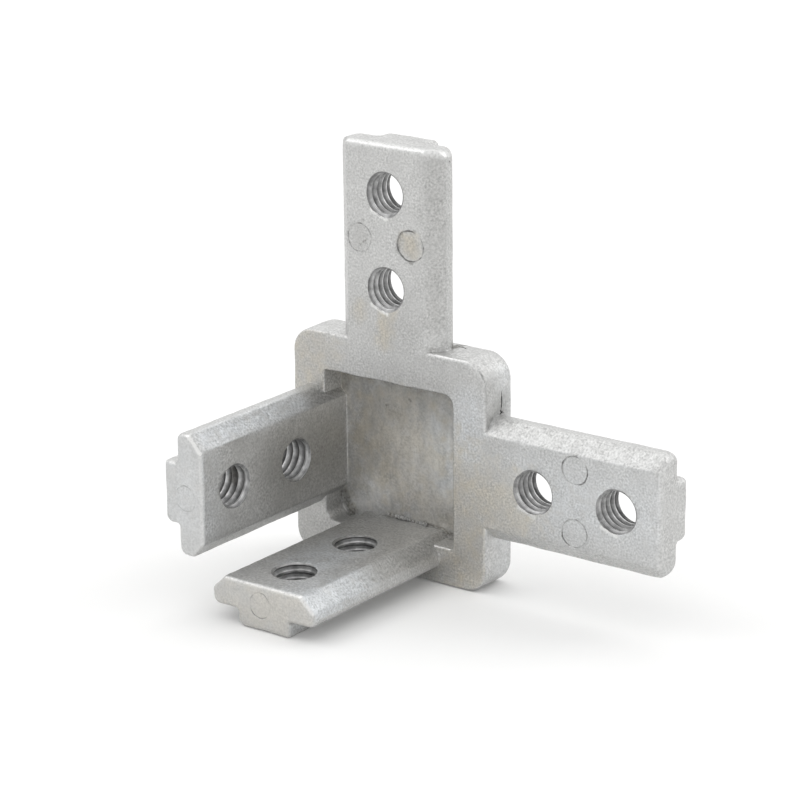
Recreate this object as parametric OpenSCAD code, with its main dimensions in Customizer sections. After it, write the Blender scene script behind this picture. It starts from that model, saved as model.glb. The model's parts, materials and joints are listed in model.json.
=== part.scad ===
// Hidden corner connector: one die casting that joins three square T-slot profiles at a corner.
// The origin is the middle of the seat face, where the front profile ends.
// +X runs along the right leg, +Z along the up leg, and the two front legs run along -Y.
// The casting is its own mirror image in the diagonal plane x = z.

/* [Body] */
// Side of the square body, the same as the profile's side
body_side = 30; // [29:0.25:36]
// Radius of the body's four corners
body_corner_r = 3.2; // [1:0.1:4.5]
// Rounding of the edges of the seat face
seat_edge_r = 0.45; // [0.1:0.05:0.8]
// Rounding of the edges of the back face
back_edge_r = 0.8; // [0.2:0.05:1]

/* [Pocket] */
// Wall left around the pocket in the seat face
pocket_wall = 5; // [4:0.1:6]
// Depth of the pocket below the seat face
pocket_depth = 3.4; // [1:0.1:4.5]
// Radius of the pocket's two corners on the diagonal
pocket_corner_r = 1.3; // [0.2:0.1:3]
// Radius of the pocket's other two corners
pocket_crisp_r = 0.5; // [0.2:0.1:3]

/* [Leg section] */
// Width of the head, which runs behind the lips of the slot
head_width = 15.7; // [14:0.1:18]
// Width of the head's flat inner face
head_flat = 11.9; // [9:0.1:13]
// Depth of the head, from the flat inner face to the shoulders
head_depth = 3.85; // [3:0.05:4.5]
// Depth of the sloping sides beside the flat inner face
chamfer_depth = 1.8; // [0.8:0.05:2.4]
// Width of the rib, which fills the mouth of the slot
rib_width = 7.9; // [7:0.05:9]
// Depth of the rib, the thickness of the slot's lips
rib_depth = 2.05; // [1.2:0.05:3]

/* [Leg length] */
// Reach of each leg beyond the face that it stands on
leg_reach = 25.2; // [22:0.1:32]

/* [Leg edges] */
// Rounding where the flat inner face turns into the sloping sides
flat_edge_r = 0.5; // [0.1:0.05:1]
// Rounding where the sloping sides turn into the head's sides
slope_edge_r = 0.6; // [0.1:0.05:1]
// Rounding of the shoulder on the side away from the diagonal corner
shoulder_r = 1; // [0.2:0.1:1.6]
// Rounding of the shoulder on the side towards the diagonal corner
outer_shoulder_r = 1.5; // [0.2:0.1:1.9]
// Rounding of the rib's edge on the side away from the diagonal corner
rib_edge_r = 0.35; // [0.1:0.05:0.8]
// Rounding of the rib's edge on the side towards the diagonal corner
outer_rib_edge_r = 0.95; // [0.2:0.05:1.2]
// Rounding of the edges around each leg's end
tip_r = 0.6; // [0.1:0.05:0.8]
// Rounding of the head's two corners at the end of the up leg and the right leg
head_tip_r = 1.5; // [0.2:0.1:2.5]
// Rounding of the rib's two corners there
rib_tip_r = 0.9; // [0.2:0.1:2]

/* [Tapped holes] */
// Bore of the tapped holes, the inner diameter of their thread
tap_bore_d = 5.15; // [4.5:0.05:5.4]
// Diameter of the holes' mouths in the flat inner face, where the points of the screws come out
tap_mouth_d = 6; // [5.5:0.1:6.8]
// Depth of the countersinks there
tap_sink = 0.2; // [0.1:0.05:0.8]
// Diameter of the holes' mouths in the rib, where the screws are turned in
tap_lead_d = 7.8; // [5.5:0.1:8]
// Depth of the countersinks there
tap_lead = 1.5; // [0.2:0.1:2]
// Distance of a leg's first hole from the face that the leg stands on
first_hole = 7; // [5:0.25:8]
// Distance between a leg's two holes
hole_pitch = 12; // [8:0.25:13]

/* [Ejector marks] */
// Diameter of the round marks on the up leg and the right leg
face_mark_d = 3.9; // [2:0.1:4.4]
// Distance of those marks from the middle of the leg
face_mark_offset = 4; // [3.5:0.1:4.5]
// Diameter of the round mark on the end of each front leg
end_mark_d = 3.4; // [2:0.1:4]
// Distance of that mark from the middle of the leg, towards the diagonal corner
end_mark_offset = 0.4; // [0:0.1:1.5]
// Distance of that mark's middle from the flat inner face
end_mark_level = 2.6; // [2:0.1:3.5]
// Depth of the round marks
mark_depth = 0.1; // [0.05:0.05:0.3]

/* [Hidden] */
// Flat steps in the arc of a rounding
arc_steps = 5;
// How far a cut runs past the face that it opens
cut_over = 1;
// Facets of the round marks
$fn = 64;

half_side = body_side / 2;
leg_depth = head_depth + rib_depth;
// The up leg and the right leg lie flush with the seat face and the back face
body_depth = leg_depth;
side_root = pocket_wall / 2;
// The front legs start inside the pocket's floor
front_root = (pocket_depth + body_depth) / 2;
pocket_side = body_side - 2 * pocket_wall;

// A leg's section: x across the leg, y from the flat inner face out to the rib.
// Negative x is the side towards the diagonal corner.
head_outline = [
    [-head_flat / 2, 0],
    [head_flat / 2, 0],
    [head_width / 2, chamfer_depth],
    [head_width / 2, head_depth],
    [-head_width / 2, head_depth],
    [-head_width / 2, chamfer_depth]
];
head_corner_r = [flat_edge_r, flat_edge_r, slope_edge_r, shoulder_r, outer_shoulder_r, slope_edge_r];

rib_outline = [
    [-rib_width / 2, chamfer_depth],
    [rib_width / 2, chamfer_depth],
    [rib_width / 2, leg_depth],
    [-rib_width / 2, leg_depth]
];
rib_corner_r = [0, 0, rib_edge_r, outer_rib_edge_r];

// Unit vector from one point towards another
function toward(from, to) = (to - from) / norm(to - from);

// Arc that rounds corner p between its neighbours, limited to half of the shorter side
function corner_arc(before, p, after, r) =
    let (
        to_before = toward(p, before),
        to_after = toward(p, after),
        half_angle = acos(to_before * to_after) / 2,
        longest = min(norm(before - p), norm(after - p)) / 2,
        run = min(r / tan(half_angle), longest),
        arc_r = run * tan(half_angle),
        centre = p + toward([0, 0], to_before + to_after) * arc_r / sin(half_angle),
        start = p + to_before * run - centre,
        start_angle = atan2(start[1], start[0]),
        sweep = -sign(cross(to_before, to_after)) * (180 - 2 * half_angle)
    )
    [
        for (i = [0 : arc_steps])
            let (angle = start_angle + sweep * i / arc_steps)
            centre + arc_r * [cos(angle), sin(angle)]
    ];

// Outline with each corner rounded by its own radius, where 0 leaves the corner sharp
function rounded(outline, radii) =
    let (count = len(outline))
    [
        for (i = [0 : count - 1])
            each radii[i] > 0
                ? corner_arc(outline[(i + count - 1) % count], outline[i], outline[(i + 1) % count], radii[i])
                : [outline[i]]
    ];

// Rectangle from [0, 0] to [x, y]
function rectangle(x, y) = [[0, 0], [x, 0], [x, y], [0, y]];

// Space behind one side of a section, with the edge at the leg's end rounded
module behind_side(from, to, edge_r, root) {
    far = body_side;
    angle = atan2(to[1] - from[1], to[0] - from[0]);
    translate([from[0], from[1], -root])
        rotate([90, 0, angle + 90])
            linear_extrude(2 * far, center = true)
                polygon(rounded(rectangle(far, root + leg_reach), [0, 0, 0, edge_r]));
}

// Bar with a convex section along +Z, from inside the body to an end with rounded edges
module leg_bar(outline, corner_r, end_r, root) {
    intersection() {
        translate([0, 0, -root])
            linear_extrude(root + leg_reach)
                polygon(rounded(outline, corner_r));
        intersection_for (i = [0 : len(outline) - 1])
            behind_side(outline[i], outline[(i + 1) % len(outline)], end_r[i], root);
    }
}

// T-shaped leg along +Z: the head, and the rib on its back
module leg(root, head_end_r, rib_end_r) {
    leg_bar(head_outline, head_corner_r, [tip_r, tip_r, head_end_r, tip_r, head_end_r, tip_r], root);
    leg_bar(rib_outline, rib_corner_r, [tip_r, rib_end_r, tip_r, rib_end_r], root);
}

// Tapped hole along +Y from a leg's flat inner face, with a wide countersink at its end in the rib
module tapped_hole() {
    bore_r = tap_bore_d / 2;
    mouth_r = tap_mouth_d / 2;
    lead_r = tap_lead_d / 2;
    rotate([-90, 0, 0])
        rotate_extrude()
            polygon([
                [0, -cut_over],
                [mouth_r, -cut_over],
                [mouth_r, 0],
                [bore_r, tap_sink],
                [bore_r, leg_depth - tap_lead],
                [lead_r, leg_depth],
                [lead_r, leg_depth + cut_over],
                [0, leg_depth + cut_over]
            ]);
}

// A leg's two tapped holes
module tapped_holes() {
    for (i = [0, 1])
        translate([0, 0, first_hole + i * hole_pitch])
            tapped_hole();
}

// Round marks of the ejector pins beside the middle of a leg, midway between its holes
module face_marks() {
    for (side = [-1, 1])
        translate([side * face_mark_offset, mark_depth, first_hole + hole_pitch / 2])
            rotate([90, 0, 0])
                cylinder(d = face_mark_d, h = mark_depth + cut_over);
}

// Round mark of an ejector pin on a leg's end
module end_mark() {
    translate([-end_mark_offset, end_mark_level, leg_reach - mark_depth])
        cylinder(d = end_mark_d, h = mark_depth + cut_over);
}

// Stands a leg on the body's top side
module up_place() {
    translate([0, 0, half_side])
        children();
}

// Lays a leg along -Y with its rib flush with the body's bottom side
module bottom_place() {
    translate([0, 0, leg_depth - half_side])
        mirror([0, 0, 1])
            rotate([90, 0, 0])
                children();
}

// Repeats a shape in the diagonal plane x = z
module diagonal_pair() {
    children();
    mirror([1, 0, -1])
        children();
}

// Block between the body's corners, along X, with rounded edges
module body_slab() {
    rotate([90, 0, 90])
        linear_extrude(body_side - 2 * body_corner_r, center = true)
            translate([0, -half_side])
                polygon(rounded(rectangle(body_depth, body_side),
                    [seat_edge_r, back_edge_r, back_edge_r, seat_edge_r]));
}

// One corner of the body: a quarter of a disc with rounded edges
module body_corner() {
    corner = half_side - body_corner_r;
    translate([corner, body_depth, corner])
        rotate([90, 0, 0])
            rotate_extrude(angle = 90)
                polygon(rounded(rectangle(body_corner_r, body_depth), [0, back_edge_r, seat_edge_r, 0]));
}

// Square pocket that opens in the seat face
module pocket() {
    translate([-pocket_side / 2, pocket_depth, -pocket_side / 2])
        rotate([90, 0, 0])
            linear_extrude(pocket_depth + cut_over)
                polygon(rounded(rectangle(pocket_side, pocket_side),
                    [pocket_corner_r, pocket_crisp_r, pocket_corner_r, pocket_crisp_r]));
}

// Square body with the pocket in its seat face
module body() {
    difference() {
        union() {
            diagonal_pair()
                body_slab();
            for (quarter = [0 : 3])
                rotate([0, 90 * quarter, 0])
                    body_corner();
        }
        pocket();
    }
}

// The whole casting
module corner_connector() {
    color([0.74, 0.74, 0.73])
        difference() {
            union() {
                body();
                diagonal_pair() {
                    up_place()
                        leg(side_root, head_tip_r, rib_tip_r);
                    bottom_place()
                        leg(front_root, tip_r, tip_r);
                }
            }
            diagonal_pair() {
                up_place() {
                    tapped_holes();
                    face_marks();
                }
                bottom_place() {
                    tapped_holes();
                    end_mark();
                }
            }
        }
}

corner_connector();
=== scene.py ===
import json
import bpy
import numpy as np
from mathutils import Matrix, Vector


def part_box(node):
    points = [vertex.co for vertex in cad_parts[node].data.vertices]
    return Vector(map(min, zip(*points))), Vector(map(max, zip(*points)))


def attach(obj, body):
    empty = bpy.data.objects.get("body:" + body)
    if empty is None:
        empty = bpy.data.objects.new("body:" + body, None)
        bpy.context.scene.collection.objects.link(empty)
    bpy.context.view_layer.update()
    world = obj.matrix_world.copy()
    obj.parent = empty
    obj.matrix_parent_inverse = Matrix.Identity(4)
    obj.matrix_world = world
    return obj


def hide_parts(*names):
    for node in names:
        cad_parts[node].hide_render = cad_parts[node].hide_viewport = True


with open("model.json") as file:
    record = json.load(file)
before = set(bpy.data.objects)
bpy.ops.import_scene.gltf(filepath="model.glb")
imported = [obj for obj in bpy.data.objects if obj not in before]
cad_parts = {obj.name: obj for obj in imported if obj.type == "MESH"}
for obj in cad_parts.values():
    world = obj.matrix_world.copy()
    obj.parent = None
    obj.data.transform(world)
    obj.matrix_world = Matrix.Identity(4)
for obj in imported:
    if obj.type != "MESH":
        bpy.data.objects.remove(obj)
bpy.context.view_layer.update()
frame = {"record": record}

mm = 0.001  # shapes are worked out in millimetres, meshes are in metres

# sizes that the frame gives
boxLow, boxHigh = (np.array(corner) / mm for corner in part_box("corner_connector"))
mounts = {mount["name"]: mount for mount in frame["record"]["mounts"]}
upScrews = mounts["up_screws"]
halfSide = -boxLow[0]
backFace = boxHigh[1]
sideReach = boxHigh[2] - halfSide
frontReach = -boxLow[1]
boreRadius = upScrews["dims"]["hole_r_mm"]
holePitch = upScrews["dims"]["spacing_y_mm"]
holeMiddle = upScrews["pos_m"][2] / mm - halfSide


# Vectors scaled to length 1
def unit(vectors):
    return vectors / np.linalg.norm(vectors, axis=-1, keepdims=True)


# Cross product of plane vectors, row by row
def planeCross(first, second):
    return first[:, 0] * second[:, 1] - first[:, 1] * second[:, 0]


# From each corner of an outline to the corner before it, and to the one after it
def neighbours(corners):
    return np.roll(corners, 1, 0) - corners, np.roll(corners, -1, 0) - corners


# Section with its sides moved inward: each side goes in by its own amount along its normal,
# and a corner goes where its two moved sides cross
def shiftSides(corners, inward):
    along = unit(np.roll(corners, -1, 0) - corners)
    normal = np.stack([-along[:, 1], along[:, 0]], 1)
    level = (normal * corners).sum(1) + inward
    normalBefore = np.roll(normal, 1, 0)
    levelBefore = np.roll(level, 1)
    cross = planeCross(normalBefore, normal)
    x = (levelBefore * normal[:, 1] - level * normalBefore[:, 1]) / cross
    y = (level * normalBefore[:, 0] - levelBefore * normal[:, 0]) / cross
    return np.stack([x, y], 1)


# Outline with rounded corners: at each corner an arc that touches both sides, at most half of the
# shorter one long, and along each side evenly spaced points
def roundedOutline(corners, radii, arcSteps, sideSteps):
    before, after = neighbours(corners)
    longest = np.minimum(np.linalg.norm(before, axis=1), np.linalg.norm(after, axis=1)) / 2
    before = unit(before)
    after = unit(after)
    half = np.arccos((before * after).sum(1)) / 2
    run = np.minimum(radii / np.tan(half), longest)
    arcRadius = run * np.tan(half)
    centre = corners + unit(before + after) * (arcRadius / np.sin(half))[:, None]
    start = corners + before * run[:, None] - centre
    bend = -np.sign(planeCross(before, after))
    sweep = np.linspace(0, 1, arcSteps + 1) * (bend * (np.pi - 2 * half))[:, None]
    angle = np.arctan2(start[:, 1], start[:, 0])[:, None] + sweep
    arcs = centre[:, None] + arcRadius[:, None, None] * np.stack([np.cos(angle), np.sin(angle)], -1)
    nextStart = np.roll(arcs[:, 0], -1, 0)
    parts = []
    for arc, end, steps in zip(arcs, nextStart, sideSteps):
        share = np.linspace(0, 1, steps + 2)[1:-1, None]
        parts.append(arc)
        parts.append(arc[-1] + share * (end - arc[-1]))
    return np.concatenate(parts)


# One ring of a loft: the section with its sides moved inward, whose outer corners lose what
# their sides moved and whose inner corners gain it
def sectionRing(section, inward, station):
    corners = section["corners"]
    bend = -np.sign(planeCross(*neighbours(corners)))
    change = (inward + np.roll(inward, 1)) / 2
    radii = np.maximum(section["radii"] - bend * change, section["leastRadius"])
    outline = roundedOutline(shiftSides(corners, inward), radii, section["arcSteps"], section["sideSteps"])
    return np.column_stack([outline, np.full(len(outline), station)])


# Points for the straight sides, about one for each spacing
def sideStepsFor(corners, spacing):
    length = np.linalg.norm(np.roll(corners, -1, 0) - corners, axis=1)
    return (length / spacing).astype(int)


# Solid from rings: quads join each ring to the next, and flat caps close the two ends. A solid is its
# points and its faces, a list of arrays that each hold faces with the same number of corners
def loft(rings):
    rings = np.asarray(rings)
    count, around = rings.shape[:2]
    index = np.arange(count * around).reshape(count, around)
    after = np.roll(index, -1, 1)
    quads = np.stack([index[:-1], after[:-1], after[1:], index[1:]], -1).reshape(-1, 4)
    return rings.reshape(-1, 3), [quads, index[:1, ::-1], index[-1:]]


# Solid of a section carried along Z: a ring at each station, with its sides moved inward by their
# amounts there
def carried(section, inward, stations):
    return loft([sectionRing(section, amounts, z) for amounts, z in zip(inward, stations)])


# Solid of revolution about Z: each profile point, a radius and a height, becomes a circle
def turned(profile, around):
    profile = np.array(profile)
    angle = np.linspace(0, 2 * np.pi, around, endpoint=False)
    x = profile[:, :1] * np.cos(angle)
    y = profile[:, :1] * np.sin(angle)
    return loft(np.stack([x, y, np.broadcast_to(profile[:, 1:], x.shape)], -1))


# Several solids in one mesh
def together(solids):
    points = []
    faces = []
    for part, partFaces in solids:
        offset = sum(map(len, points))
        points.append(part)
        faces += [group + offset for group in partFaces]
    return np.concatenate(points), faces


# Solid carried to its place, turned outside out where the place is a mirror image
def placed(solid, place):
    points, faces = solid
    axes = place(np.eye(3)) - place(np.zeros((1, 3)))
    if np.linalg.det(axes) < 0:
        faces = [group[:, ::-1] for group in faces]
    return place(points), faces


def moved(solid, x, y, z):
    points, faces = solid
    return points + [x, y, z], faces


def meshObject(name, solid):
    points, faces = solid
    mesh = bpy.data.meshes.new(name)
    mesh.from_pydata((points * mm).tolist(), [], [face for group in faces for face in group.tolist()])
    piece = bpy.data.objects.new(name, mesh)
    bpy.context.scene.collection.objects.link(piece)
    return piece


# Puts the evaluated mesh, modifiers included, in place of the piece's own mesh
def applyModifiers(piece):
    evaluated = piece.evaluated_get(bpy.context.evaluated_depsgraph_get())
    mesh = bpy.data.meshes.new_from_object(evaluated)
    old = piece.data
    piece.modifiers.clear()
    piece.data = mesh
    bpy.data.meshes.remove(old)


# Adds the tool's solids to the piece or cuts them out of it
def combine(piece, operation, name, solid):
    tool = meshObject(name, solid)
    modifier = piece.modifiers.new(name, "BOOLEAN")
    modifier.operation = operation
    modifier.solver = "MANIFOLD"
    modifier.object = tool
    applyModifiers(piece)
    bpy.data.objects.remove(tool)


# How far a side comes in at a rounded end: a quarter circle of the side's own radius
def endInset(station, end, radius):
    past = np.clip(station - (end - radius), 0, radius)
    return radius - np.sqrt(radius ** 2 - past ** 2)


# How far a side swells at a fillet: a quarter circle that starts on the face the side stands on
def rootSwell(station, face, radius):
    left = np.clip(radius - (station - face), 0, radius)
    return radius - np.sqrt(radius ** 2 - left ** 2)


# Heights that a quarter circle of that radius needs below its end
def arcStations(end, radius, steps):
    return end - radius * (1 - np.sin(np.linspace(0, np.pi / 2, steps + 1)))


body = {
    "cornerRadius": 3.2,
    "leastRadius": 1.0,
    "seatEdge": 0.45,
    "backEdge": 0.8,
    "partingDepth": 3.85,  # the die's halves meet at this depth, level with the side legs' shoulders
    "draft": 0.02,  # the sides lean in from there, by this much for each unit of depth
    "ridgeHeight": 0.012,
    "ridgeWidth": 0.16,
    "spacing": 0.8,  # of points along straight stretches
    "cornerSteps": 12,
    "edgeSteps": 6,
    "ridgeSteps": 8,
}

pocket = {
    "wall": 5.0,
    "depth": 3.4,
    "crispRadius": 0.5,
    "softRadius": 1.3,
    "leastRadius": 0.1,
    "mouthRadius": 0.2,
    "floorFillet": 0.05,
    "draft": 0.02,
    "over": 1.0,  # how far the cut runs past the seat face
    "cornerSteps": 8,
    "mouthSteps": 4,
    "wallSteps": 3,
    "filletSteps": 5,
}


# Square section about the middle, with a radius for each corner
def squareSection(half, radii, piece):
    corners = half * np.array([[-1, -1], [1, -1], [1, 1], [-1, 1]])
    return {
        "corners": corners,
        "radii": np.array(radii),
        "leastRadius": piece["leastRadius"],
        "arcSteps": piece["cornerSteps"],
        "sideSteps": sideStepsFor(corners, body["spacing"]),
    }


# Square section carried along Z, with all four sides moved inward alike
def carriedSquare(section, inset, stations):
    return carried(section, np.repeat(inset[:, None], 4, 1), stations)


# The body's block: a rounded square carried along its depth, with rounded edges at both ends,
# sides that lean in from the parting plane, and a fine ridge on that plane
def bodyBlock():
    section = squareSection(halfSide, [body["cornerRadius"]] * 4, body)
    seat = body["seatEdge"]
    back = body["backEdge"]
    parting = body["partingDepth"]
    ridge = body["ridgeWidth"]
    stations = np.unique(np.concatenate([
        backFace - arcStations(backFace, seat, body["edgeSteps"]),
        arcStations(backFace, back, body["edgeSteps"]),
        np.arange(seat, backFace - back, body["spacing"]),
        parting + ridge * np.linspace(-2, 2, body["ridgeSteps"] + 1),  # it fades within two widths
    ]).round(4))
    inset = endInset(backFace - stations, backFace, seat) + endInset(stations, backFace, back)
    inset += body["draft"] * np.abs(stations - parting)
    inset -= body["ridgeHeight"] * np.exp(-((stations - parting) / ridge) ** 2)
    return carriedSquare(section, inset, stations)


# The pocket's space: a rounded square carried from in front of the seat face to the floor,
# wider at the mouth and narrower at the floor by a quarter circle each
def pocketSpace():
    radii = [pocket["softRadius"], pocket["crispRadius"]] * 2
    section = squareSection(halfSide - pocket["wall"], radii, pocket)
    depth = pocket["depth"]
    mouth = pocket["mouthRadius"]
    fillet = pocket["floorFillet"]
    stations = np.unique(np.concatenate([
        [-pocket["over"]],
        mouth - arcStations(mouth, mouth, pocket["mouthSteps"]),
        np.linspace(mouth, depth - fillet, pocket["wallSteps"] + 1),
        arcStations(depth, fillet, pocket["filletSteps"]),
    ]).round(4))
    inset = endInset(stations, depth, fillet) + pocket["draft"] * stations
    inset -= rootSwell(stations, 0, mouth)
    return carriedSquare(section, inset, stations)


leg = {
    "headWidth": 15.7,
    "headFlat": 11.9,
    "headDepth": 3.85,
    "slopeDepth": 1.8,
    "ribWidth": 7.9,
    "ribDepth": 2.05,
    "flatEdge": 0.5,
    "slopeEdge": 0.6,
    "shoulder": 1.0,
    "outerShoulder": 1.5,  # on the side towards the diagonal corner
    "ribEdge": 0.35,
    "outerRibEdge": 0.95,
    "innerCorner": 0.4,
    "leastRadius": 0.08,
    "tipEdge": 0.6,
    "headTip": 1.5,  # the head's two corners at the end of a side leg
    "ribTip": 0.9,  # the rib's two corners there
    "rootFillet": 0.07,
    "spacing": 0.7,
    "arcSteps": 6,
    "tipSteps": 6,
    "headTipSteps": 8,
    "filletSteps": 4,
}
legDepth = leg["headDepth"] + leg["ribDepth"]
# the kinds of a section's sides, round the T from the flat inner face
legSides = ["flat", "slope", "head", "shoulder", "rib", "back", "rib", "shoulder", "head", "slope"]


# Corners of a leg's section, each where its side starts: x across, y out to the rib
def legSection():
    head = leg["headWidth"] / 2
    flat = leg["headFlat"] / 2
    rib = leg["ribWidth"] / 2
    corners = np.array([
        [-flat, 0],
        [flat, 0],
        [head, leg["slopeDepth"]],
        [head, leg["headDepth"]],
        [rib, leg["headDepth"]],
        [rib, legDepth],
        [-rib, legDepth],
        [-rib, leg["headDepth"]],
        [-head, leg["headDepth"]],
        [-head, leg["slopeDepth"]],
    ])
    radii = ["flatEdge", "flatEdge", "slopeEdge", "shoulder", "innerCorner",
             "ribEdge", "outerRibEdge", "innerCorner", "outerShoulder", "slopeEdge"]
    return {
        "corners": corners,
        "radii": np.array([leg[name] for name in radii]),
        "leastRadius": leg["leastRadius"],
        "arcSteps": leg["arcSteps"],
        "sideSteps": sideStepsFor(corners, leg["spacing"]),
    }


# One value for each side of a leg's section, by its kind
def bySide(values, otherwise):
    return np.array([values.get(side, otherwise) for side in legSides], float)


# A leg along Z: the T section carried from inside the body to the tip, where each side rounds in,
# and swollen by a fillet at the face that each side stands on. That face is at 0 where faces names
# no other for the kind of side, and nan is a side that runs on flush
def legBar(root, reach, headTip, ribTip, faces):
    tip = bySide({"head": headTip, "rib": ribTip}, leg["tipEdge"])
    faces = bySide(faces, 0)
    fillet = np.where(np.isnan(faces), 0, leg["rootFillet"])
    faces = np.nan_to_num(faces)
    stations = [
        [-root],
        np.arange(leg["rootFillet"], reach - leg["headTip"], leg["spacing"]),
        arcStations(reach, leg["tipEdge"], leg["tipSteps"]),
        arcStations(reach, leg["ribTip"], leg["tipSteps"]),
        arcStations(reach, leg["headTip"], leg["headTipSteps"]),
    ]
    swell = leg["rootFillet"] - arcStations(leg["rootFillet"], leg["rootFillet"], leg["filletSteps"])
    stations += [face + swell for face in np.unique(faces)]
    stations = np.unique(np.concatenate(stations).round(4))
    inward = endInset(stations[:, None], reach, tip) - rootSwell(stations[:, None], faces, fillet)
    return carried(legSection(), inward, stations)


# Places: a leg's own axes carried into the frame
def upPlace(points):
    return points + [0, backFace - legDepth, halfSide]


def bottomPlace(points):
    return np.stack([points[..., 0], -points[..., 2], legDepth - halfSide - points[..., 1]], -1)


def rightPlace(points):
    return upPlace(points)[..., ::-1]


def leftPlace(points):
    return bottomPlace(points)[..., ::-1]


def alongY(points):
    return points[..., [0, 2, 1]]


thread = {
    "pitch": 1.0,
    "crestFlat": 0.25,  # in shares of the pitch
    "rootFlat": 0.125,
    "rootRadius": 3.0,
    "mouthRadius": 2.84,  # in the flat inner face
    "mouthSink": 0.2,
    "leadRadius": 3.9,  # in the rib
    "leadSink": 1.5,
    # painted shade in each countersink
    "mouthShade": 0.5,
    "shift": {"up": 0, "right": 0, "left": 0, "bottom": -0.6},  # of each leg's threads along their axes
    # painted shade in the thread roots, set leg by leg
    "rootShade": {"up": 0.9, "right": 1.1, "left": 1, "bottom": 0.75},  # how dark each leg's roots are
    "rimWave": 0.03,  # how far a rim strays from a circle
    "rowsPerTurn": 10,
    "around": 48,
    "over": 1.3,  # how far a thread runs past the faces that it opens
    "capRise": 0.1,  # how far the middles of its two ends stand out
}


# A thread's space along Z: rows of points that climb one pitch a turn, each row with its own depth
# between crest and root, so that every crest and root line follows a row
def threadSpace():
    rows = thread["rowsPerTurn"]
    around = thread["around"]
    length = legDepth + 2 * thread["over"]
    count = int(length / thread["pitch"] * rows)
    phase = np.arange(count) / rows
    flank = 1 - thread["crestFlat"] - thread["rootFlat"]
    depth = np.clip((2 * np.abs(phase % 1 - 0.5) - thread["crestFlat"]) / flank, 0, 1)
    turn = np.arange(around) / around
    height = (phase[:, None] + turn) * thread["pitch"] - thread["over"]
    radius = (boreRadius + (thread["rootRadius"] - boreRadius) * depth)[:, None]
    x = radius * np.cos(2 * np.pi * turn)
    y = radius * np.sin(2 * np.pi * turn)
    points = np.stack([x, y, height], -1)
    index = np.arange(count * around).reshape(count, around)
    # the last column joins the first one turn higher up
    wall = np.concatenate([index[:-rows], index[rows:, :1]], 1)
    quads = np.stack([wall[:-1, :-1], wall[:-1, 1:], wall[1:, 1:], wall[1:, :-1]], -1).reshape(-1, 4)
    # a fan of triangles closes each end, over a step one pitch high
    used = count - rows
    foot = np.concatenate([index[0], index[rows:0:-1, 0]])
    top = np.concatenate([wall[used - 1], index[used + rows - 2:used - 1:-1, 0]])
    footHeight = height[0, 0] - thread["capRise"]
    topHeight = height[used - 1, -1] + thread["capRise"]
    points = np.concatenate([points.reshape(-1, 3), [[0, 0, footHeight], [0, 0, topHeight]]])
    footMiddle = index.size
    fanFoot = np.stack([np.full(len(foot), footMiddle), np.roll(foot, -1), foot], -1)
    fanTop = np.stack([np.full(len(top), footMiddle + 1), top, np.roll(top, -1)], -1)
    faces = [quads, fanFoot, fanTop]
    # points that no face uses are left out, and the others numbered again
    keep = np.unique(np.concatenate([group.ravel() for group in faces]))
    number = np.zeros(len(points), int)
    number[keep] = np.arange(len(keep))
    return points[keep], [number[group] for group in faces]


# Countersink at a hole's mouth: a cone down to the bore, whose rim waves 3 and 7 times a turn
def mouthSpace(rim, sink, turn):
    points, faces = turned([[boreRadius, -sink], [rim, 0], [rim, thread["over"] / 2]], thread["around"])
    angle = np.arctan2(points[:, 1], points[:, 0])
    wave = 0.6 * np.sin(3 * angle + turn) + 0.4 * np.sin(7 * angle + 2 * turn)
    points[:, :2] *= 1 + np.where(points[:, 2] < 0, 0, thread["rimWave"] / rim * wave)[:, None]
    return points, faces


marks = {
    "endRadius": 1.7,
    "endOffset": -0.4,  # towards the diagonal corner
    "endLevel": 2.6,
    "width": 0.22,
    "stray": 0.07,  # how far an outline strays from a circle
    "over": 0.5,  # how far the cut runs past the face
    "around": 64,
    # each mark's leg, its distance from the middle of the leg, its radius, and the depths of its disc
    # and of the groove round it
    "face": [
        ("up", -4.0, 1.9, 0.04, 0.08),
        ("up", 3.75, 2.05, 0.09, 0.14),
        ("right", 4.0, 1.9, 0.02, 0.12),
        ("right", -4.0, 1.9, 0.02, 0.11),
    ],
    "end": [("left", 0.02, 0.05), ("bottom", 0.02, 0.07)],
}


# Ejector mark: a disc just under the face with a groove round it, flat for the middle 0.4 of its width,
# cut from outside along Z; the outline strays from a circle by a sum of three waves, and the groove
# comes and goes with them
def markSpace(radius, dish, groove, turn):
    width = marks["width"]
    points, faces = turned([
        [radius - width, -dish],
        [radius - width * 0.7, -groove],
        [radius - width * 0.3, -groove],
        [radius, 0],
        [radius, marks["over"]],
    ], marks["around"])
    angle = np.arctan2(points[:, 1], points[:, 0])
    wave = 0.5 * np.sin(2 * angle + turn) + 0.3 * np.sin(5 * angle + 2 * turn) + 0.2 * np.sin(9 * angle)
    points[:, :2] *= 1 + marks["stray"] / radius * wave[:, None]
    cut = -dish - (groove - dish) * np.clip(0.6 + wave, 0.25, 1)
    points[:, 2] = np.where(points[:, 2] < -dish, cut, points[:, 2])
    return points, faces


# Turns a space that opens towards +Z so that it opens on a leg's flat inner face, or on its rib
def onFlatFace(points):
    return np.stack([points[..., 0], -points[..., 2], points[..., 1]], -1)


def onRib(points):
    return np.stack([points[..., 0], points[..., 2], -points[..., 1]], -1)


pocketFloor = -pocket["depth"]
sideFaces = {"flat": np.nan, "back": np.nan}
frontFaces = {"flat": pocketFloor, "slope": pocketFloor, "back": np.nan}
sideRoot = pocket["wall"] / 2
frontRoot = (pocket["depth"] + backFace) / 2
sideLeg = legBar(sideRoot, sideReach, leg["headTip"], leg["ribTip"], sideFaces)
frontLeg = legBar(frontRoot, frontReach, leg["tipEdge"], leg["tipEdge"], frontFaces)
legBars = {"up": sideLeg, "right": sideLeg, "left": frontLeg, "bottom": frontLeg}
legPlaces = {"up": upPlace, "right": rightPlace, "left": leftPlace, "bottom": bottomPlace}

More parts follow.
